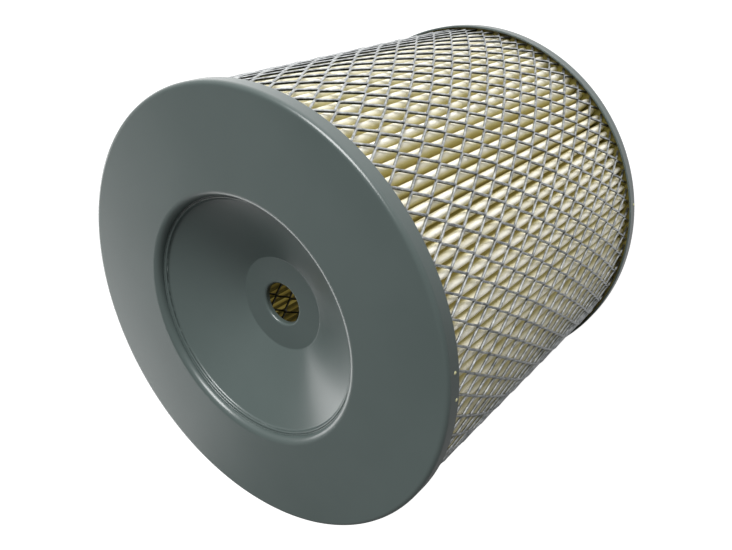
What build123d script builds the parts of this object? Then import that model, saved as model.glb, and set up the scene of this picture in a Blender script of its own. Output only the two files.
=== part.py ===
"""Round air filter element with two pressed steel end caps, stood on its open end.

Frame: +Z runs along the filter's axis from the open end to the closed end. The origin is the
centre of the gasket's sealing face. Lengths are in millimetres and angles in degrees.
"""
from build123d import *
from math import cos, degrees, hypot, pi, radians, sin
import os

os.makedirs("parts", exist_ok=True)

# Driving dimensions
CAP_RADIUS = 64.0            # outside of both end caps
METAL_HEIGHT = 121.6         # from the open cap's face to the closed cap's face
SHEET = 0.6                  # thickness of the pressed steel sheet
GASKET_PROUD = 5.0           # how far the gasket stands below the open cap's face
CLOSED_FLANGE = 4.8          # height of the closed cap's rim
OPEN_FLANGE = 4.5            # height of the open cap's rim
RIM_ROUND = 1.2              # rounded edge between a cap's face and its rim

# The dish pressed into the closed cap: a rounded lip, a step, a cone and a flat boss
DISH_RADIUS = 35.4
DISH_LIP_ROUND = 2.0
DISH_STEP_DEPTH = 2.3
DISH_STEP_RADIUS = 34.6
DISH_FLOOR_RADIUS = 34.4
DISH_FLOOR_DEPTH = 3.3
BOSS_RADIUS = 14.3
BOSS_DEPTH = 15.1
STUD_HOLE_RADIUS = 6.25
STUD_COLLAR_DEPTH = 17.0
STEP_ROOT_BEND, STEP_EDGE_BEND, CONE_BEND = 0.25, 0.5, 0.9
BOSS_BEND, STUD_COLLAR_BEND = 0.8, 0.8

# The open cap's outlet and the channel that holds the gasket
OUTLET_RADIUS = 38.2
OUTLET_COLLAR = 6.0
OUTLET_BEND = 0.8
CHANNEL_INNER, CHANNEL_OUTER, CHANNEL_DEPTH = 41.4, 56.6, 1.2
CHANNEL_EDGE_BEND, CHANNEL_ROOT_BEND = 0.4, 0.3
GASKET_INNER, GASKET_OUTER = 42.0, 56.0
GASKET_ROUND = 1.0
ADHESIVE_FILM = 0.3

# Filter media and the two expanded metal tubes
CLOSED_POTTING, OPEN_POTTING = 2.6, 1.4   # adhesive between each cap and the media's end
PLEATS = 125
PAPER = 0.5
PLEAT_CREST_RADIUS = 61.9
PLEAT_ROOT_RADIUS = 40.3
PLEAT_CREST_WIDTH, PLEAT_ROOT_WIDTH = 0.9, 0.5
SEAM_BEAD_DEPTH = 9.0
MESH_RADIUS = 63.1           # outside of the outer expanded metal
MESH_WALL = 1.0
MESH_COLUMNS = 61
CORE_RADIUS = 40.0           # outside of the inner expanded metal
CORE_WALL = 0.8
CORE_COLUMNS = 38
DIAMOND_HEIGHT = 10.32       # long way of a diamond, along the filter's axis
STRAND = 0.8
NODE_ANGLE, NODE_HEIGHT = -90.45, 68.6    # where one crossing of the strands lies
SEAM_ANGLE = 90.0
WELD_RADIUS, WELD_HEIGHT = 0.9, 0.35
WELDED_CROSSINGS = (-5, -3, -1, 1, 3, 5)  # in diamonds above the crossing at NODE_HEIGHT

OPEN_FACE = GASKET_PROUD
CLOSED_FACE = OPEN_FACE + METAL_HEIGHT
MEDIA_BOTTOM = OPEN_FACE + CHANNEL_DEPTH + SHEET + OPEN_POTTING
MEDIA_TOP = CLOSED_FACE - SHEET - CLOSED_POTTING


def parallel(points, distance, closed=False):
    """The line through the points, moved to its left by the distance, with mitred corners."""
    count = len(points)
    moved = []
    for i, (x, y) in enumerate(points):
        ways = []
        if closed or i > 0:
            ways.append((x - points[i - 1][0], y - points[i - 1][1]))
        if closed or i < count - 1:
            after = points[(i + 1) % count]
            ways.append((after[0] - x, after[1] - y))
        normals = [(-dy / hypot(dx, dy), dx / hypot(dx, dy)) for dx, dy in ways]
        nx = sum(n[0] for n in normals) / len(normals)
        ny = sum(n[1] for n in normals) / len(normals)
        stretch = distance / (nx * nx + ny * ny)
        moved.append((x + nx * stretch, y + ny * stretch))
    return moved


def turned(face):
    """The solid that a face in the XZ plane makes when it turns about the filter's axis."""
    return revolve(face, Axis.Z)


def section(points, radii):
    """A face in the XZ plane with the given corners, each rounded by its own radius."""
    corners = [(x, 0, z) for x, z in points]
    return make_face(FilletPolyline(*corners, radius=radii, close=True))


def hidden_side(points, rounds):
    """The line and the bend radii on the sheet's other side, to the left of the visible line.

    A bend to the left is tighter there by the sheet's thickness.
    """
    hidden_rounds = []
    for before, corner, after, bend in zip(points, points[1:], points[2:], rounds):
        turn = ((corner[0] - before[0]) * (after[1] - corner[1])
                - (corner[1] - before[1]) * (after[0] - corner[0]))
        hidden_rounds.append(max(bend - SHEET, 0.1) if turn > 0 else bend)
    return parallel(points, SHEET), hidden_rounds


def pressed_sheet(points, rounds):
    """A turned cap of sheet steel whose visible side follows the points and bend radii."""
    hidden, hidden_rounds = hidden_side(points, rounds)
    radii = [0, *rounds, 0, 0, *reversed(hidden_rounds), 0]
    return turned(section(points + hidden[::-1], radii))


def closed_cap_line():
    """Corners and bend radii of the closed cap's visible side, from the rim to the stud hole."""
    top = CLOSED_FACE
    points = [
        (CAP_RADIUS, top - CLOSED_FLANGE),
        (CAP_RADIUS, top),
        (DISH_RADIUS, top),
        (DISH_RADIUS, top - DISH_STEP_DEPTH),
        (DISH_STEP_RADIUS, top - DISH_STEP_DEPTH),
        (DISH_FLOOR_RADIUS, top - DISH_FLOOR_DEPTH),
        (BOSS_RADIUS, top - BOSS_DEPTH),
        (STUD_HOLE_RADIUS, top - BOSS_DEPTH),
        (STUD_HOLE_RADIUS, top - STUD_COLLAR_DEPTH),
    ]
    return points, [RIM_ROUND, DISH_LIP_ROUND, STEP_ROOT_BEND, STEP_EDGE_BEND, CONE_BEND,
                    BOSS_BEND, STUD_COLLAR_BEND]


def open_cap_line():
    """Corners and bend radii of the open cap's visible side, from the outlet to the rim."""
    face = OPEN_FACE
    points = [
        (OUTLET_RADIUS, face + OUTLET_COLLAR),
        (OUTLET_RADIUS, face),
        (CHANNEL_INNER, face),
        (CHANNEL_INNER, face + CHANNEL_DEPTH),
        (CHANNEL_OUTER, face + CHANNEL_DEPTH),
        (CHANNEL_OUTER, face),
        (CAP_RADIUS, face),
        (CAP_RADIUS, face + OPEN_FLANGE),
    ]
    return points, [OUTLET_BEND, CHANNEL_EDGE_BEND, CHANNEL_ROOT_BEND, CHANNEL_ROOT_BEND,
                    CHANNEL_EDGE_BEND, RIM_ROUND]


def closed_end_cap():
    return pressed_sheet(*closed_cap_line())


def open_end_cap():
    return pressed_sheet(*open_cap_line())


def closed_end_potting():
    """The ring of cured adhesive in the closed cap, out to its rim and in to the core."""
    outer, inner = CAP_RADIUS - SHEET, CORE_RADIUS - CORE_WALL
    top = CLOSED_FACE - SHEET
    corners = [(inner, MEDIA_TOP), (outer, MEDIA_TOP), (outer, top), (inner, top)]
    return turned(section(corners, [0, 0, RIM_ROUND - SHEET, 0]))


def open_end_potting():
    """The ring of cured adhesive in the open cap, over and beside the gasket's channel."""
    hidden, rounds = hidden_side(*open_cap_line())
    outer, inner = CAP_RADIUS - SHEET, CORE_RADIUS - CORE_WALL
    corners = [(inner, OPEN_FACE + SHEET), *hidden[2:7], (outer, MEDIA_BOTTOM),
               (inner, MEDIA_BOTTOM)]
    return turned(section(corners, [0, *rounds[1:6], 0, 0]))


def polar(radius, angle):
    return radius * cos(radians(angle)), radius * sin(radians(angle))


def pleat_line():
    """The middle line of the folded paper: a crest and a root for each pleat."""
    pitch = 360.0 / PLEATS
    crest, root = PLEAT_CREST_RADIUS - PAPER / 2, PLEAT_ROOT_RADIUS + PAPER / 2
    half_crest = degrees(PLEAT_CREST_WIDTH / 2 / crest)
    half_root = degrees(PLEAT_ROOT_WIDTH / 2 / root)
    line = []
    for i in range(PLEATS):
        middle = SEAM_ANGLE + i * pitch
        line.append(polar(crest, middle - half_crest))
        line.append(polar(crest, middle + half_crest))
        line.append(polar(root, middle + pitch / 2 - half_root))
        line.append(polar(root, middle + pitch / 2 + half_root))
    return line


def pleated_paper_media():
    middle = pleat_line()
    outer = make_face(Polyline(*parallel(middle, -PAPER / 2, closed=True), close=True))
    inner = make_face(Polyline(*parallel(middle, PAPER / 2, closed=True), close=True))
    return extrude(Pos(0, 0, MEDIA_BOTTOM) * (outer - inner), MEDIA_TOP - MEDIA_BOTTOM)


def media_seam_adhesive():
    """The bead that joins the paper's two ends: it fills the root of one outer fold."""
    outside = parallel(pleat_line(), -PAPER / 2, closed=True)
    crest_a, root_a, root_b, crest_b = outside[1:5]
    reach = SEAM_BEAD_DEPTH / (PLEAT_CREST_RADIUS - PLEAT_ROOT_RADIUS)
    end_a = tuple(r + (c - r) * reach for r, c in zip(root_a, crest_a))
    end_b = tuple(r + (c - r) * reach for r, c in zip(root_b, crest_b))
    face = make_face(Polyline(root_a, root_b, end_b, end_a, close=True))
    return extrude(Pos(0, 0, MEDIA_BOTTOM) * face, MEDIA_TOP - MEDIA_BOTTOM)


def expanded_metal_tube(radius, wall, columns):
    """A tube cut through by rows of diamonds, every second row turned by half a diamond.

    The sheet is bent in narrow flats, two to a diamond, so that each diamond's long corners lie
    on a bend and all its edges are straight.
    """
    height = MEDIA_TOP - MEDIA_BOTTOM
    pitch = 360.0 / columns
    outside = RegularPolygon(radius, 2 * columns, rotation=NODE_ANGLE)
    inside = RegularPolygon(radius - wall, 2 * columns, rotation=NODE_ANGLE)
    tube = extrude(Pos(0, 0, MEDIA_BOTTOM) * (outside - inside), height)
    half_width = pi * radius / columns
    half_height = DIAMOND_HEIGHT / 2
    shrink = 1 - STRAND / 2 * hypot(half_width, half_height) / (half_width * half_height)
    corners = [(half_width * shrink, 0), (0, half_height * shrink),
               (-half_width * shrink, 0), (0, -half_height * shrink)]
    diamond = make_face(Polyline(*corners, close=True))
    cutter = extrude(Plane.YZ.offset(radius - wall - 1) * diamond, wall + 2)
    cutters = []
    first_row = -int((NODE_HEIGHT - MEDIA_BOTTOM) / half_height) - 1
    last_row = int((MEDIA_TOP - NODE_HEIGHT) / half_height) + 1
    for row in range(first_row, last_row + 1):
        level = NODE_HEIGHT + row * half_height
        shift = 0.5 if row % 2 == 0 else 0.0
        for column in range(columns):
            angle = NODE_ANGLE + (column + shift) * pitch
            cutters.append(Pos(0, 0, level) * Rot(0, 0, angle) * cutter)
    return tube.cut(*cutters)


def seam_welds(inner_radius, columns):
    """Spot welds on crossings of the strands, up the column of crossings nearest the seam."""
    weld = Plane.YZ.offset(inner_radius) * Cylinder(WELD_RADIUS, WELD_HEIGHT,
                                                    align=(Align.CENTER, Align.CENTER, Align.MIN))
    pitch = 360.0 / columns
    angle = NODE_ANGLE + round((SEAM_ANGLE - NODE_ANGLE) / pitch) * pitch
    welds = [Pos(0, 0, NODE_HEIGHT + k * DIAMOND_HEIGHT) * Rot(0, 0, angle) * weld
             for k in WELDED_CROSSINGS]
    return Compound(welds)


def sealing_gasket():
    top = OPEN_FACE + CHANNEL_DEPTH - ADHESIVE_FILM
    corners = [(GASKET_INNER, 0), (GASKET_OUTER, 0), (GASKET_OUTER, top), (GASKET_INNER, top)]
    return turned(section(corners, [GASKET_ROUND, GASKET_ROUND, 0, 0]))


def gasket_adhesive():
    top = OPEN_FACE + CHANNEL_DEPTH
    bottom = top - ADHESIVE_FILM
    corners = [(GASKET_INNER, bottom), (GASKET_OUTER, bottom), (GASKET_OUTER, top),
               (GASKET_INNER, top)]
    return turned(section(corners, [0, 0, 0, 0]))


def main():
    pieces = {
        "closed_end_cap": closed_end_cap(),
        "open_end_cap": open_end_cap(),
        "closed_end_potting": closed_end_potting(),
        "open_end_potting": open_end_potting(),
        "pleated_paper_media": pleated_paper_media(),
        "media_seam_adhesive": media_seam_adhesive(),
        "outer_mesh_sleeve": expanded_metal_tube(MESH_RADIUS, MESH_WALL, MESH_COLUMNS),
        "outer_mesh_seam_welds": seam_welds(MESH_RADIUS - 0.1, MESH_COLUMNS),
        "inner_core": expanded_metal_tube(CORE_RADIUS, CORE_WALL, CORE_COLUMNS),
        "inner_core_seam_welds": seam_welds(CORE_RADIUS - CORE_WALL - WELD_HEIGHT + 0.1,
                                            CORE_COLUMNS),
        "sealing_gasket": sealing_gasket(),
        "gasket_adhesive": gasket_adhesive(),
    }
    for name, shape in pieces.items():
        export_step(shape, f"parts/{name}.step", write_pcurves=False)
        print(name, f"{shape.volume:.0f} mm3")


main()
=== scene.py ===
"""Looks for a round air filter element that stands on its open end.

Every shape is a numpy surface in metres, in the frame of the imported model: +Z runs from the open
end to the closed end, and the origin is the centre of the gasket's sealing face.
"""
from math import pi, radians

import bmesh
import bpy
import numpy as np
from mathutils import Matrix, Vector


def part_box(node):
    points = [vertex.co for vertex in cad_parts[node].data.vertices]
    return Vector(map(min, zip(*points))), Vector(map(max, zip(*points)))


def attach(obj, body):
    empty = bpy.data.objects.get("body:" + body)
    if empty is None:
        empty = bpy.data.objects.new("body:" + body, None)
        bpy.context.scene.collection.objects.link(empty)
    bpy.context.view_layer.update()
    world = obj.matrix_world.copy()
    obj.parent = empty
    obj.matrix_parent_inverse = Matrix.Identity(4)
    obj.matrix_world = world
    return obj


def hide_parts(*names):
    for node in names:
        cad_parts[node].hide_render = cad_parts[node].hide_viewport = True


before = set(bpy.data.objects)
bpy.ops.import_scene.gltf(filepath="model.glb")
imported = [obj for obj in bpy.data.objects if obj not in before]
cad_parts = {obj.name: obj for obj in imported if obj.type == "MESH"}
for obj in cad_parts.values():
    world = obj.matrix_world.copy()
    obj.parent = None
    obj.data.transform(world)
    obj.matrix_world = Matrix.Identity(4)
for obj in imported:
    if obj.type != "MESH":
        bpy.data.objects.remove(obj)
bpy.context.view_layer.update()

MM = 0.001
CAP_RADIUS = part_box("closed_end_cap")[1][0]
CLOSED_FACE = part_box("closed_end_cap")[1][2]
OPEN_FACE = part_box("open_end_cap")[0][2]
SHEET = 0.6 * MM
MEDIA_LOW, MEDIA_HIGH = (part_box("pleated_paper_media")[k][2] for k in (0, 1))
PLEAT_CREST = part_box("pleated_paper_media")[1][0]
GASKET_INNER = 42.0 * MM
GASKET_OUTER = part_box("sealing_gasket")[1][0]
MESH_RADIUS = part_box("outer_mesh_sleeve")[1][0]
CORE_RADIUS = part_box("inner_core")[1][0]
CORE_WALL = 0.8 * MM
NODE_ANGLE, NODE_HEIGHT = radians(-90.45), 68.6 * MM    # where two strands cross
DIAMOND = 10.32 * MM         # long way of a diamond, along the filter's axis
STRAND_TILT, STRAND_TWIST = radians(17), radians(-12)
MESH_COLUMNS, CORE_COLUMNS = 61, 38
PLEATS = 125
SEAM_ANGLE = pi / 2
WELD_RADIUS = 0.9 * MM
WELDED_CROSSINGS = (-5, -3, -1, 1, 3, 5)    # in diamonds above the crossing at NODE_HEIGHT
TURNS = 256                  # steps round a turned piece
random = np.random.default_rng(7)


# Meshes

def make_mesh(name, points, faces, outward=True):
    """An object from an array of points and a list of arrays of corner numbers.

    Each array in faces holds faces with the same number of corners. Its smooth surface is turned
    to face outwards.
    """
    mesh = bpy.data.meshes.new(name)
    corners = np.concatenate([np.asarray(f).ravel() for f in faces])
    sizes = np.concatenate([np.full(len(f), np.asarray(f).shape[1]) for f in faces])
    mesh.vertices.add(len(points))
    mesh.vertices.foreach_set("co", np.asarray(points, dtype=np.float32).ravel())
    mesh.loops.add(len(corners))
    mesh.loops.foreach_set("vertex_index", corners.astype(np.int32))
    mesh.polygons.add(len(sizes))
    mesh.polygons.foreach_set("loop_start", (np.cumsum(sizes) - sizes).astype(np.int32))
    mesh.update(calc_edges=True)
    mesh.validate()
    if outward:
        shell = bmesh.new()
        shell.from_mesh(mesh)
        bmesh.ops.recalc_face_normals(shell, faces=shell.faces)
        shell.to_mesh(mesh)
        shell.free()
    mesh.polygons.foreach_set("use_smooth", np.ones(len(mesh.polygons), dtype=bool))
    mesh.update()
    piece = bpy.data.objects.new(name, mesh)
    bpy.context.collection.objects.link(piece)
    return piece


def grid_faces(rows, columns, closed_rows=False, closed_columns=False):
    """Corner numbers of the four-sided faces between the rows and columns of a grid of points."""
    row = np.arange(rows if closed_rows else rows - 1)[:, None]
    column = np.arange(columns if closed_columns else columns - 1)
    next_row, next_column = (row + 1) % rows, (column + 1) % columns
    return np.stack([row * columns + column, next_row * columns + column,
                     next_row * columns + next_column, row * columns + next_column],
                    axis=-1).reshape(-1, 4)


def polar(radius, angle, height):
    """Points from their distance from the filter's axis, their angle round it and their height."""
    radius, angle, height = np.broadcast_arrays(radius, angle, height)
    return np.stack([radius * np.cos(angle), radius * np.sin(angle), height], axis=-1)


def rounded_line(corners, radii, steps=7, hold=0.12 * MM):
    """A closed line of (radius, height) points whose corners are arcs.

    An arc touches both its straight runs, radius times tan(turn / 2) from the corner. One more
    point stands on the straight run at each end of the arc, a hold away, which keeps the shading
    of that run flat.
    """
    corners = np.asarray(corners, dtype=float)
    line = []
    for before, corner, after, radius in zip(np.roll(corners, 1, 0), corners,
                                             np.roll(corners, -1, 0), radii):
        to_before = (before - corner) / np.linalg.norm(before - corner)
        to_after = (after - corner) / np.linalg.norm(after - corner)
        half = np.arccos(np.clip(to_before @ to_after, -1, 1)) / 2
        reach = radius / np.tan(half)
        middle = to_before + to_after
        centre = corner + middle / np.linalg.norm(middle) * radius / np.sin(half)
        start, end = corner + to_before * reach, corner + to_after * reach
        sweep = pi - 2 * half
        share = np.linspace(0, 1, steps)[:, None]
        arc = (np.sin((1 - share) * sweep) * (start - centre)
               + np.sin(share * sweep) * (end - centre)) / np.sin(sweep) + centre
        line += [start + to_before * hold, *arc, end + to_after * hold]
    return np.array(line)


def turned(name, corners, radii, wave=None):
    """A closed line turned about the filter's axis. wave(line, angle) may move its heights."""
    line = rounded_line(corners, radii)
    angle = np.linspace(0, 2 * pi, TURNS, endpoint=False)[:, None]
    height = line[None, :, 1] + (wave(line, angle) if wave else 0)
    points = polar(line[None, :, 0], angle, height)
    return make_mesh(name, points.reshape(-1, 3),
                     [grid_faces(TURNS, len(line), closed_rows=True, closed_columns=True)])


def sheet_line(points, rounds):
    """The closed outline of a bent sheet: the visible line, and the hidden line to its left.

    Each hidden corner is the visible corner moved along its mitre, so that the sheet keeps its
    thickness. A left bend is tighter on the hidden side.
    """
    points = np.asarray(points, dtype=float)
    ways = np.diff(points, axis=0)
    ways /= np.linalg.norm(ways, axis=1)[:, None]
    lefts = np.stack([-ways[:, 1], ways[:, 0]], axis=1)
    mitres = np.concatenate([lefts[:1], (lefts[:-1] + lefts[1:]) / 2, lefts[-1:]])
    hidden = points + SHEET * mitres / (mitres ** 2).sum(1)[:, None]
    turn = ways[:-1, 0] * ways[1:, 1] - ways[:-1, 1] * ways[1:, 0]
    tight = np.where(turn > 0, np.maximum(np.array(rounds) - SHEET, 0.1 * MM), rounds)
    edge = 0.15 * MM
    return np.concatenate([points, hidden[::-1]]), [edge, *rounds, edge, edge, *tight[::-1], edge]


# Pieces

def closed_cap():
    """The dished cap: rim, flat ring, rounded lip, step, cone, flat boss and turned-in hole.

    The corners are distances from the axis and depths below the cap's face, in millimetres, and
    every corner but the first and the last has a bend.
    """
    rim, dish, step, cone, boss, hole = 64.0, 35.4, 34.6, 34.4, 14.3, 6.25
    rim_height, step_depth, cone_depth, boss_depth, hole_depth = 4.8, 2.3, 3.3, 15.1, 17.0
    corners = [(rim, rim_height), (rim, 0), (dish, 0), (dish, step_depth), (step, step_depth),
               (cone, cone_depth), (boss, boss_depth), (hole, boss_depth), (hole, hole_depth)]
    rim_bend, lip_bend, step_root_bend, step_edge_bend = 1.2, 2.0, 0.25, 0.5
    cone_bend, boss_bend, hole_bend = 0.9, 0.8, 0.8
    bends = (rim_bend, lip_bend, step_root_bend, step_edge_bend, cone_bend, boss_bend, hole_bend)
    points = [(radius * MM, CLOSED_FACE - depth * MM) for radius, depth in corners]
    rounds = [bend * MM for bend in bends]
    return turned("closed_cap_pressing", *sheet_line(points, rounds))


def open_cap():
    """The open cap: outlet collar, flat ring with the gasket's channel, and rim.

    The corners are distances from the axis and heights above the cap's face, in millimetres, and
    every corner but the first and the last has a bend.
    """
    outlet, channel_inner, channel_outer, rim = 38.2, 41.4, 56.6, 64.0
    collar_height, channel_depth, rim_height = 6.0, 1.2, 4.5
    corners = [(outlet, collar_height), (outlet, 0), (channel_inner, 0),
               (channel_inner, channel_depth), (channel_outer, channel_depth),
               (channel_outer, 0), (rim, 0), (rim, rim_height)]
    outlet_bend, channel_edge_bend, channel_root_bend, rim_bend = 0.8, 0.4, 0.3, 1.2
    bends = (outlet_bend, channel_edge_bend, channel_root_bend, channel_root_bend,
             channel_edge_bend, rim_bend)
    points = [(radius * MM, OPEN_FACE + height * MM) for radius, height in corners]
    rounds = [bend * MM for bend in bends]
    return turned("open_cap_pressing", *sheet_line(points, rounds))


def potting_ring(name, node, surface, inside):
    """A cap's adhesive, poured as a ring. Its free surface, at one height, has slow waves.

    The waves are a sum of sines round the ring and fade out away from the surface. Inside is 1
    where the media lies above the surface, and -1 where it lies below.
    """
    low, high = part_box(node)
    outer, inner = high[0], CORE_RADIUS - CORE_WALL
    fade = 0.5 * MM

    def wave(line, angle):
        free = np.exp(-((line[None, :, 1] - surface) / fade) ** 2)
        slow = 0.10 * np.sin(5 * angle + 1) + 0.07 * np.sin(13 * angle) + 0.05 * np.sin(29 * angle)
        return free * (slow - 0.2) * MM * inside

    corners = [(inner, low[2]), (outer, low[2]), (outer, high[2]), (inner, high[2])]
    return turned(name, corners, [0.3 * MM] * 4, wave)


def gasket():
    """A flat rubber ring with rounded edges towards the seat."""
    low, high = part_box("sealing_gasket")
    corners = [(GASKET_INNER, low[2]), (GASKET_OUTER, low[2]), (GASKET_OUTER, high[2]),
               (GASKET_INNER, high[2])]
    seat_round, back_round = MM, 0.1 * MM
    return turned("gasket_ring", corners, [seat_round, seat_round, back_round, back_round])


def paper_pleats():
    """Folded paper: one closed strip, carried along the filter's axis.

    A fold is two straight legs between half an ellipse at the crest and half a circle at the
    root. Each fold's place, crest and lean differ a little, and vary slowly along the axis. A
    fold's points are seven on the crest, two on a leg, three on the root and two on the next leg.
    """
    paper, crest, root = 0.45 * MM, PLEAT_CREST, 40.4 * MM
    crest_bend, crest_depth, root_bend = 0.92 * MM, 1.9 * MM, 0.30 * MM
    heights = np.linspace(MEDIA_LOW + 0.1 * MM, MEDIA_HIGH - 0.1 * MM, 18)
    along = (heights - heights[0]) / (heights[-1] - heights[0])
    turn = np.linspace(pi, 0, 7)
    top_x = crest_bend * np.cos(turn)
    top_y = crest - paper / 2 - crest_depth * (1 - np.sin(turn))
    low_x, low_y = -root_bend * np.cos(turn[1:-1:2]), root + paper / 2 + root_bend * (
        1 - np.sin(turn[1:-1:2]))
    leg = np.array([0.35, 0.72])
    span = pi * 2 / PLEATS
    start = np.concatenate([top_x, np.zeros(2), low_x, np.zeros(2)])
    radial = np.concatenate([top_y, top_y[-1] + leg * (low_y[0] - top_y[-1]), low_y,
                             low_y[-1] + leg * (top_y[0] - low_y[-1])])
    per_fold = len(radial)
    down_leg, root_arc, up_leg = slice(7, 9), slice(9, 12), slice(12, 14)
    is_root = np.zeros(per_fold)
    is_root[root_arc] = 1
    angle_in_fold = start / radial + is_root * span / 2
    end_of_crest, start_of_root = top_x[-1] / top_y[-1], low_x[0] / low_y[0] + span / 2
    end_of_root, next_crest = low_x[-1] / low_y[-1] + span / 2, top_x[0] / top_y[0] + span
    angle_in_fold[down_leg] = end_of_crest + leg * (start_of_root - end_of_crest)
    angle_in_fold[up_leg] = end_of_root + leg * (next_crest - end_of_root)

    fold = np.arange(PLEATS)[:, None, None]
    shift = random.normal(0, 0.07, (PLEATS, 1, 1)) * span
    lean = random.normal(0, 0.07, (PLEATS, 1, 1)) * span
    bow = random.normal(0, 0.06, (PLEATS, 1, 1)) * span
    phase = random.uniform(0, 2 * pi, (PLEATS, 1, 1))
    sink = random.uniform(0, 0.4, (PLEATS, 1, 1)) * MM
    z = along[None, None, :]
    crest_share = ((radial - root) / (crest - root))[None, :, None]
    crest_move = shift + lean * (z - 0.5) + bow * np.sin(pi * z + phase)
    next_move = np.roll(crest_move, -1, axis=0)
    later = (np.arange(per_fold) >= up_leg.start)[None, :, None]
    move = np.where(later, next_move, crest_move) * np.clip(crest_share, 0, 1)
    angle = SEAM_ANGLE + fold * span + angle_in_fold[None, :, None] + move
    far = radial[None, :, None] - sink * (1 + 0.3 * np.sin(5 * z + phase)) * crest_share ** 4
    middle = np.stack([far * np.cos(angle), far * np.sin(angle)], axis=-1)
    middle = middle.reshape(PLEATS * per_fold, len(heights), 2)
    way = np.roll(middle, -1, axis=0) - np.roll(middle, 1, axis=0)
    way /= np.linalg.norm(way, axis=-1, keepdims=True)
    side = np.stack([way[..., 1], -way[..., 0]], axis=-1) * paper / 2
    loop = np.concatenate([middle + side, (middle - side)[:, ::-1]], axis=1)
    level = np.concatenate([heights, heights[::-1]])
    points = np.concatenate([loop, np.broadcast_to(level[None, :, None], (*loop.shape[:2], 1))],
                            axis=-1)
    return make_mesh("paper_pleats", points.reshape(-1, 3),
                     [grid_faces(*loop.shape[:2], closed_rows=True, closed_columns=True)])


def expanded_metal(name, radius, columns, wall, strand, tilt, twist):
    """Expanded metal rolled into a tube: zigzag strips that run along the axis.

    Neighbouring strips swing towards each other and meet in bonds, half a diamond apart up the
    tube. A strip's swing is a triangle wave with its tips cut flat at the bonds. Its section is
    a rectangle with bevelled corners, tilted so that the edge at the larger angle stands out. The
    strip also moves in and out as it swings, so that two strips lie edge to edge in one tilted
    plane at their bond. The twist adds to the tilt between bonds on the way up, and takes from
    it on the way down. The edge at the smaller angle takes the second material, a near-black
    zinc that is painted shade on that side of the strip.
    """
    strips = 2 * columns
    half = DIAMOND / 2
    bond, bevel, thick = 0.3 * MM, 0.13 * MM, 0.7 * MM
    untwist = 0.5 * MM           # length over which the twist dies away beside a bond
    lap = 0.96                   # under 1, the strips overlap a little at a bond
    around_bond = np.array([-0.5, -0.14, 0.14, 0.5]) * MM
    first = int(np.floor((MEDIA_LOW - NODE_HEIGHT) / half)) - 1
    last = int(np.ceil((MEDIA_HIGH - NODE_HEIGHT) / half)) + 1
    levels = NODE_HEIGHT + np.arange(first, last + 1)[:, None] * half
    levels = (levels + around_bond).ravel()
    end = 0.2 * MM
    levels = levels[(levels > MEDIA_LOW + 2 * end) & (levels < MEDIA_HIGH - 2 * end)]
    levels = np.concatenate([[MEDIA_LOW + end], levels, [MEDIA_HIGH - end]])
    strip = np.arange(strips)[:, None]
    cycle = ((levels - NODE_HEIGHT) / half - strip) % 2
    swing = 1 - 2 * np.abs(cycle - 1)
    clear = np.clip((0.5 - np.abs(cycle % 1 - 0.5)) * half / untwist, 0, 1)
    swing = np.clip(swing / (1 - bond / half), -1, 1)
    pitch = 2 * pi / strips
    flat_width = strand / 2 * np.cos(tilt)
    centre = radius - wall / 2
    reach = pitch / 2 - flat_width / centre * lap
    wobble = 0.07 * MM * np.sin(7 * strip * pitch + 40 * levels)
    angle = NODE_ANGLE + (strip + 0.5) * pitch + swing * reach
    lift = -swing * strand / 2 * np.sin(tilt) + wobble
    across = np.array([-strand / 2, -strand / 2 + bevel, strand / 2 - bevel, strand / 2,
                       strand / 2, strand / 2 - bevel, -strand / 2 + bevel, -strand / 2])
    out = np.array([thick / 2 - bevel, thick / 2, thick / 2, thick / 2 - bevel,
                    bevel - thick / 2, -thick / 2, -thick / 2, bevel - thick / 2])
    lean = (tilt + twist * clear * np.where(cycle < 1, 1, -1))[..., None]
    tangential = across * np.cos(lean) - out * np.sin(lean)
    radial = across * np.sin(lean) + out * np.cos(lean)
    far = centre + lift[..., None] + radial
    turn = angle[..., None] + tangential / centre
    points = polar(far, turn, np.broadcast_to(levels[None, :, None], far.shape))
    rows, corners = len(levels), len(across)
    block = (np.arange(strips) * rows * corners)[:, None, None]
    sides = (block + grid_faces(rows, corners, closed_columns=True)[None]).reshape(-1, 4)
    ring = np.arange(corners)
    ends = np.concatenate([block[:, 0] + ring, block[:, 0] + (rows - 1) * corners + ring])
    tube = make_mesh(name, points.reshape(-1, 3), [sides, ends])
    # Painted shade: the edge at the smaller angle of each strip takes the second, near-black
    # material.
    shaded_edge = np.zeros(len(tube.data.polygons), dtype=np.int32)
    shaded_edge[corners - 1:len(sides):corners] = 1
    tube.data.polygons.foreach_set("material_index", shaded_edge)
    return tube


def domes(name, radius, rise, places):
    """Flattened domes on a cylinder. Each place is an angle, a height and the dome's radius.

    A dome's surface falls with the square of the distance from its middle.
    """
    share = np.linspace(0, 1, 7)[1:, None]
    angle = np.linspace(0, 2 * pi, 16, endpoint=False)
    rows = len(share)
    points, faces, caps = [], [], []
    for i, (turn, height, size) in enumerate(places):
        side, up = share * size * np.cos(angle), share * size * np.sin(angle)
        far = radius + rise * (1 - share ** 2)
        points.append(polar(far, turn + side / radius, height + up).reshape(-1, 3))
        block = i * rows * len(angle)
        faces.append(block + grid_faces(rows, len(angle), closed_columns=True))
        caps += [block + np.arange(len(angle)), block + (rows - 1) * len(angle)
                 + np.arange(len(angle))]
    return make_mesh(name, np.concatenate(points), [np.concatenate(faces), np.array(caps)])


def weld_spots(name, radius, rise, columns):
    """Spot welds on crossings of a tube's strands, up the column nearest the seam."""
    pitch = 2 * pi / columns
    angle = NODE_ANGLE + round((SEAM_ANGLE - NODE_ANGLE) / pitch) * pitch
    return domes(name, radius, rise, [(angle, NODE_HEIGHT + k * DIAMOND, WELD_RADIUS)
                                      for k in WELDED_CROSSINGS])


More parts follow.
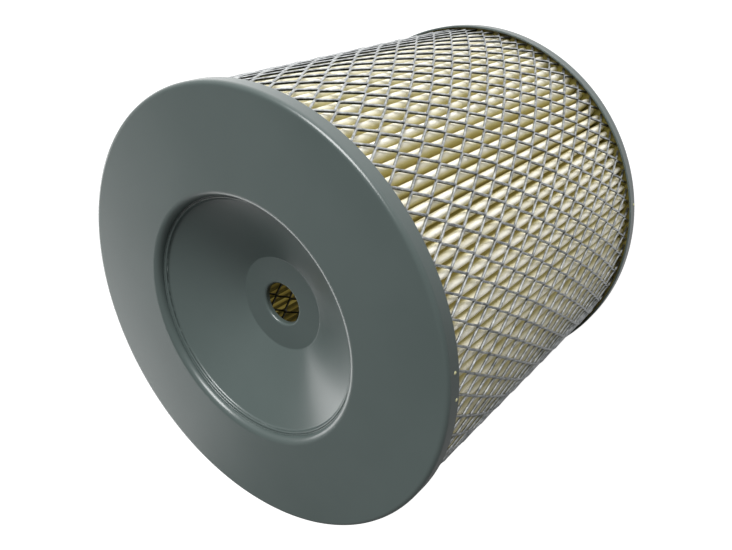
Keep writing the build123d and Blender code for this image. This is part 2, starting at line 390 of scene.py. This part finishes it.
def adhesive_specks():
    """Three small drips of adhesive that were left on the rims of the caps."""
    size, rise, sunk = 0.5 * MM, 0.25 * MM, 0.02 * MM
    places = [(radians(-124.6), CLOSED_FACE - 3.0 * MM, size),
              (radians(-131.3), CLOSED_FACE - 3.65 * MM, size),
              (radians(-120.2), OPEN_FACE + 1.9 * MM, size)]
    return domes("adhesive_specks", CAP_RADIUS - sunk, rise, places)


# Materials

def linear(colour):
    """A shader colour from an sRGB hex value: the sRGB curve undone, with alpha 1."""
    part = np.array([int(colour[i:i + 2], 16) for i in (1, 3, 5)]) / 255
    part = np.where(part <= 0.04045, part / 12.92, ((part + 0.055) / 1.055) ** 2.4)
    return (*part.tolist(), 1.0)


def add(tree, kind, settings, inputs):
    """Adds a node. Each input, by name or number, gets a link from a socket or a plain value."""
    node = tree.nodes.new(kind)
    for key, value in settings.items():
        setattr(node, key, value)
    for key, value in inputs.items():
        if isinstance(value, bpy.types.NodeSocket):
            tree.links.new(value, node.inputs[key])
        else:
            node.inputs[key].default_value = value
    return node


def new_material(name):
    """A material with a Principled shader, and its object coordinates in metres."""
    material = bpy.data.materials.new(name)
    material.use_nodes = True
    tree = material.node_tree
    place = tree.nodes.new("ShaderNodeTexCoord").outputs["Object"]
    return material, tree, tree.nodes["Principled BSDF"], place


def ramp(tree, factor, stops):
    """A colour ramp with (position, sRGB hex) stops."""
    node = add(tree, "ShaderNodeValToRGB", {}, {"Fac": factor})
    elements = node.color_ramp.elements
    for element, (position, colour) in zip(elements, stops):
        element.position, element.color = position, linear(colour)
    for position, colour in stops[2:]:
        elements.new(position).color = linear(colour)
    return node.outputs["Color"]


def distance_from_axis(tree, place):
    """The distance from the filter's axis: the length of x and y."""
    flat = add(tree, "ShaderNodeVectorMath", {"operation": "MULTIPLY"}, {0: place, 1: (1, 1, 0)})
    return add(tree, "ShaderNodeVectorMath", {"operation": "LENGTH"},
               {0: flat.outputs["Vector"]}).outputs["Value"]


def enamel_paint():
    """Satin enamel sprayed on pressed steel: an even grey with fine orange peel and some dust.

    The shade drifts over about 36 mm and the dust lies in cells of about 17 mm.
    """
    material, tree, shader, place = new_material("satin_enamel_on_steel")
    cloud = add(tree, "ShaderNodeTexNoise", {}, {"Vector": place, "Scale": 28.0, "Detail": 4.0})
    shade = ramp(tree, cloud.outputs["Fac"], [(0.3, "#4a5553"), (0.7, "#4f5a58")])
    speck = add(tree, "ShaderNodeTexVoronoi", {}, {"Vector": place, "Scale": 60.0})
    pick = add(tree, "ShaderNodeMath", {"operation": "LESS_THAN"},
               {0: speck.outputs["Distance"], 1: 0.02})
    dust = add(tree, "ShaderNodeMix", {"data_type": "RGBA"},
               {"Factor": pick.outputs["Value"], 6: shade, 7: linear("#3a3c3a")})
    tree.links.new(dust.outputs[2], shader.inputs["Base Color"])
    gloss = add(tree, "ShaderNodeMapRange", {},
                {"Value": cloud.outputs["Fac"], "To Min": 0.28, "To Max": 0.36})
    tree.links.new(gloss.outputs["Result"], shader.inputs["Roughness"])
    peel_size = 0.9 * MM
    peel = add(tree, "ShaderNodeTexNoise", {},
               {"Vector": place, "Scale": 1 / peel_size, "Detail": 2.0})
    bump = add(tree, "ShaderNodeBump", {},
               {"Height": peel.outputs["Fac"], "Strength": 0.25, "Distance": 0.02 * MM})
    tree.links.new(bump.outputs["Normal"], shader.inputs["Normal"])
    shader.inputs["Coat Weight"].default_value = 0.4
    shader.inputs["Coat Roughness"].default_value = 0.22
    return material


def zinc_plate(name, dark, light):
    """Zinc plated steel cut from sheet: a soft blue-grey metal with a crystalline mottle.

    The mottle is about 1.7 mm across, and the drawn grain 0.35 mm.
    """
    material, tree, shader, place = new_material(name)
    mottle = add(tree, "ShaderNodeTexNoise", {}, {"Vector": place, "Scale": 600.0, "Detail": 3.0})
    shade = ramp(tree, mottle.outputs["Fac"], [(0.3, dark), (0.7, light)])
    tree.links.new(shade, shader.inputs["Base Color"])
    gloss = add(tree, "ShaderNodeMapRange", {},
                {"Value": mottle.outputs["Fac"], "To Min": 0.24, "To Max": 0.45})
    tree.links.new(gloss.outputs["Result"], shader.inputs["Roughness"])
    grain = add(tree, "ShaderNodeTexNoise", {},
                {"Vector": place, "Scale": 1 / (0.35 * MM), "Detail": 3.0})
    bump = add(tree, "ShaderNodeBump", {},
               {"Height": grain.outputs["Fac"], "Strength": 0.4, "Distance": 0.03 * MM})
    tree.links.new(bump.outputs["Normal"], shader.inputs["Normal"])
    shader.inputs["Metallic"].default_value = 1.0
    return material


def filter_paper():
    """Resin-treated cellulose paper with fine fibres: cream on the crests, darkening to tan in the
    folds as painted shade.

    Light that comes through the thin paper warms the folds, which a faint glow stands for. The
    fibres are drawn 0.5 mm thick, coarser than real ones, so that they show.
    """
    material, tree, shader, place = new_material("filter_paper")
    distance = distance_from_axis(tree, place)
    depth = add(tree, "ShaderNodeMapRange", {},
                {"Value": distance, "From Min": CORE_RADIUS, "From Max": PLEAT_CREST})
    cloud = add(tree, "ShaderNodeTexNoise", {}, {"Vector": place, "Scale": 90.0, "Detail": 4.0})
    mixed = add(tree, "ShaderNodeMath", {"operation": "MULTIPLY_ADD"},
                {0: cloud.outputs["Fac"], 1: 0.02, 2: depth.outputs["Result"]})
    # Painted shade: the colour darkens with the distance below the crests, down to the roots of
    # the folds.
    shade = ramp(tree, mixed.outputs["Value"],
                 [(0.1, "#9c8d45"), (0.84, "#c0b47a"), (0.94, "#c6bf96"), (0.985, "#e2decd"),
                  (1.0, "#f0eee5")])
    tree.links.new(shade, shader.inputs["Base Color"])
    stretch = add(tree, "ShaderNodeMapping", {}, {"Vector": place, "Scale": (1, 1, 0.35)})
    fibre = add(tree, "ShaderNodeTexNoise", {},
                {"Vector": stretch.outputs["Vector"], "Scale": 1 / (0.5 * MM), "Detail": 5.0})
    bump = add(tree, "ShaderNodeBump", {},
               {"Height": fibre.outputs["Fac"], "Strength": 0.8, "Distance": 0.1 * MM})
    tree.links.new(bump.outputs["Normal"], shader.inputs["Normal"])
    shader.inputs["Roughness"].default_value = 0.9
    shader.inputs["Specular IOR Level"].default_value = 0.25
    shader.inputs["Emission Color"].default_value = linear("#a89c58")
    glow = add(tree, "ShaderNodeMapRange", {},
               {"Value": depth.outputs["Result"], "To Min": 0.03, "To Max": 0.15})
    tree.links.new(glow.outputs["Result"], shader.inputs["Emission Strength"])
    return material


def cured_adhesive(name, light, dark):
    """Cured plastisol: smooth and slightly waxy, with a mottle about 6 mm across."""
    material, tree, shader, place = new_material(name)
    cloud = add(tree, "ShaderNodeTexNoise", {}, {"Vector": place, "Scale": 160.0, "Detail": 3.0})
    shade = ramp(tree, cloud.outputs["Fac"], [(0.35, dark), (0.65, light)])
    tree.links.new(shade, shader.inputs["Base Color"])
    bump = add(tree, "ShaderNodeBump", {},
               {"Height": cloud.outputs["Fac"], "Strength": 0.4, "Distance": 0.15 * MM})
    tree.links.new(bump.outputs["Normal"], shader.inputs["Normal"])
    shader.inputs["Roughness"].default_value = 0.42
    return material


def gasket_rubber():
    """Moulded black nitrile rubber: matt, with a pebbled skin of 0.4 mm."""
    material, tree, shader, place = new_material("nitrile_rubber")
    pebble = add(tree, "ShaderNodeTexNoise", {},
                 {"Vector": place, "Scale": 1 / (0.4 * MM), "Detail": 4.0})
    shade = ramp(tree, pebble.outputs["Fac"], [(0.3, "#161616"), (0.7, "#232322")])
    tree.links.new(shade, shader.inputs["Base Color"])
    bump = add(tree, "ShaderNodeBump", {},
               {"Height": pebble.outputs["Fac"], "Strength": 0.5, "Distance": 0.05 * MM})
    tree.links.new(bump.outputs["Normal"], shader.inputs["Normal"])
    shader.inputs["Roughness"].default_value = 0.68
    return material


def weld_steel():
    """Spot welds: bare steel heated to a darker, rougher grey-brown, in blots of 1.4 mm."""
    material, tree, shader, place = new_material("spot_weld_steel")
    heat = add(tree, "ShaderNodeTexNoise", {}, {"Vector": place, "Scale": 700.0, "Detail": 3.0})
    shade = ramp(tree, heat.outputs["Fac"], [(0.3, "#4b463f"), (0.7, "#8a8783")])
    tree.links.new(shade, shader.inputs["Base Color"])
    shader.inputs["Metallic"].default_value = 1.0
    shader.inputs["Roughness"].default_value = 0.5
    return material


def white_floor():
    """A studio floor that the camera sees as plain white. It lights the filter from +X most."""
    material, tree, shader, place = new_material("studio_floor")
    shader.inputs["Base Color"].default_value = linear("#7c7c7c")
    shader.inputs["Roughness"].default_value = 0.9
    shader.inputs["Emission Color"].default_value = linear("#ffffff")
    seen = add(tree, "ShaderNodeLightPath", {}, {}).outputs["Is Camera Ray"]
    side = add(tree, "ShaderNodeSeparateXYZ", {}, {0: place}).outputs["X"]
    light = add(tree, "ShaderNodeMapRange", {},
                {"Value": side, "From Min": -2 * CAP_RADIUS, "From Max": 2 * CAP_RADIUS,
                 "To Min": 0.05, "To Max": 1.0})
    glow = add(tree, "ShaderNodeMath", {"operation": "MAXIMUM"},
               {0: seen, 1: light.outputs["Result"]})
    tree.links.new(glow.outputs["Value"], shader.inputs["Emission Strength"])
    return material


def finish_piece(piece, materials, slot, *nodes):
    """Gives a piece its materials and body, and hides the CAD nodes that it stands for. The slot
    is not used.
    """
    for material in materials:
        piece.data.materials.append(material)
    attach(piece, "root")
    if nodes:
        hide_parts(*nodes)


# Studio

def make_camera():
    """The camera stands in front of the filter and above it, and is rolled over to one side."""
    lens = bpy.data.cameras.new("camera")
    lens.sensor_width, lens.lens = 36.0, 35.28
    lens.shift_x, lens.shift_y = 0.034, 0.060
    lens.clip_start, lens.clip_end = 0.01, 20.0
    camera = bpy.data.objects.new("camera", lens)
    bpy.context.collection.objects.link(camera)
    place = (-12.73 * MM, -158.22 * MM, CLOSED_FACE + 116.82 * MM)
    camera.matrix_world = (Matrix.Translation(place) @ Matrix.Rotation(radians(46.78), 4, "X")
                           @ Matrix.Rotation(radians(-122.17), 4, "Z"))
    bpy.context.scene.camera = camera


def make_floor():
    """A disc of floor, wide enough to fill every view: one flat face with 64 corners."""
    corners, radius = 64, 4.0
    points = polar(radius, np.linspace(0, 2 * pi, corners, endpoint=False), 0.0)
    floor = make_mesh("floor", points, [np.arange(corners)[None]], outward=False)
    floor.data.materials.append(white_floor())


def soft_light(name, place, aim, size, power):
    """A white soft box of a width and height at a place, turned towards the aim."""
    lamp = bpy.data.lights.new(name, "AREA")
    lamp.shape, lamp.energy = "RECTANGLE", power
    lamp.size, lamp.size_y = size
    light = bpy.data.objects.new(name, lamp)
    bpy.context.collection.objects.link(light)
    aim_turn = (Vector(aim) - Vector(place)).to_track_quat("-Z", "Y")
    light.matrix_world = Matrix.Translation(place) @ aim_turn.to_matrix().to_4x4()


def make_studio():
    """Soft boxes, and a surround that is white low down and grey overhead and to one side."""
    middle = (0, 0, CLOSED_FACE / 2)
    soft_light("key", (0.95, -1.05, 1.12), middle, (1.0, 1.0), 41)
    soft_light("far_panel", (0.27, 0.95, 0.33), middle, (0.75, 0.45), 3)
    world = bpy.data.worlds.new("surround")
    world.use_nodes = True
    tree = world.node_tree
    way = tree.nodes.new("ShaderNodeTexCoord").outputs["Generated"]
    slope = add(tree, "ShaderNodeVectorMath", {"operation": "DOT_PRODUCT"},
                {0: way, 1: (-0.45, 0.1, 0.9)}).outputs["Value"]
    sky = ramp(tree, slope, [(0.0, "#ffffff"), (0.25, "#bcbcbc"), (0.45, "#989898"),
                             (0.7, "#7c7c7c"), (1.0, "#a8a8a8")])
    tree.links.new(sky, tree.nodes["Background"].inputs["Color"])
    tree.nodes["Background"].inputs["Strength"].default_value = 0.6
    bpy.context.scene.world = world
    bpy.context.scene.view_settings.view_transform = "Standard"


def main():
    """Sets the studio up, and makes each piece beside the CAD node that it stands for."""
    make_camera()
    make_floor()
    make_studio()
    paint, paper = enamel_paint(), filter_paper()
    zinc = zinc_plate("zinc_plated_steel", "#878b8d", "#dee1e2")
    # Painted shade: a darker copy of the zinc for the inner core, which stands in the shadow
    # inside the filter.
    shaded_core_zinc = zinc_plate("zinc_plated_steel_painted_shade", "#3f3e38", "#615f57")
    # Painted shade: a near-black copy of the zinc for each strand's edge at the smaller angle.
    zinc_edge_shade = zinc_plate("zinc_edge_painted_shade", "#1d1e1a", "#3c3d38")
    # The plastisol's own olive colour, darkened as painted shade for the shadow it lies in within
    # the caps.
    shaded_plastisol = cured_adhesive("cured_plastisol_painted_shade", "#7d7434", "#5b5322")
    drip = cured_adhesive("adhesive_drip", "#c4c39c", "#a3a173")
    glue = cured_adhesive("contact_adhesive", "#8f8560", "#6d6547")
    weld = weld_steel()
    finish_piece(closed_cap(), [paint], "cap_paint", "closed_end_cap")
    finish_piece(open_cap(), [paint], "cap_paint", "open_end_cap")
    finish_piece(potting_ring("closed_potting_ring", "closed_end_potting", MEDIA_HIGH, -1),
                 [shaded_plastisol], "potting", "closed_end_potting")
    finish_piece(potting_ring("open_potting_ring", "open_end_potting", MEDIA_LOW, 1),
                 [shaded_plastisol], "potting", "open_end_potting")
    finish_piece(paper_pleats(), [paper], "filter_paper", "pleated_paper_media")
    outer = expanded_metal("outer_mesh", MESH_RADIUS, MESH_COLUMNS, 1.1 * MM, 0.68 * MM,
                           STRAND_TILT, STRAND_TWIST)
    finish_piece(outer, [zinc, zinc_edge_shade], "zinc_mesh", "outer_mesh_sleeve")
    inner = expanded_metal("inner_mesh", CORE_RADIUS, CORE_COLUMNS, 0.9 * MM, 0.7 * MM,
                           STRAND_TILT, STRAND_TWIST)
    finish_piece(inner, [shaded_core_zinc, zinc_edge_shade], "zinc_mesh", "inner_core")
    outer_spots = weld_spots("outer_seam_spots", MESH_RADIUS - 0.3 * MM, 0.4 * MM, MESH_COLUMNS)
    finish_piece(outer_spots, [weld], "weld_steel", "outer_mesh_seam_welds")
    inner_spots = weld_spots("inner_seam_spots", CORE_RADIUS - 0.6 * MM, -0.45 * MM, CORE_COLUMNS)
    finish_piece(inner_spots, [weld], "weld_steel", "inner_core_seam_welds")
    finish_piece(adhesive_specks(), [drip], "potting")
    finish_piece(gasket(), [gasket_rubber()], "gasket_rubber", "sealing_gasket")
    for node, material in (("media_seam_adhesive", shaded_plastisol), ("gasket_adhesive", glue)):
        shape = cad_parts[node].data
        shape.materials.clear()
        shape.materials.append(material)


main()
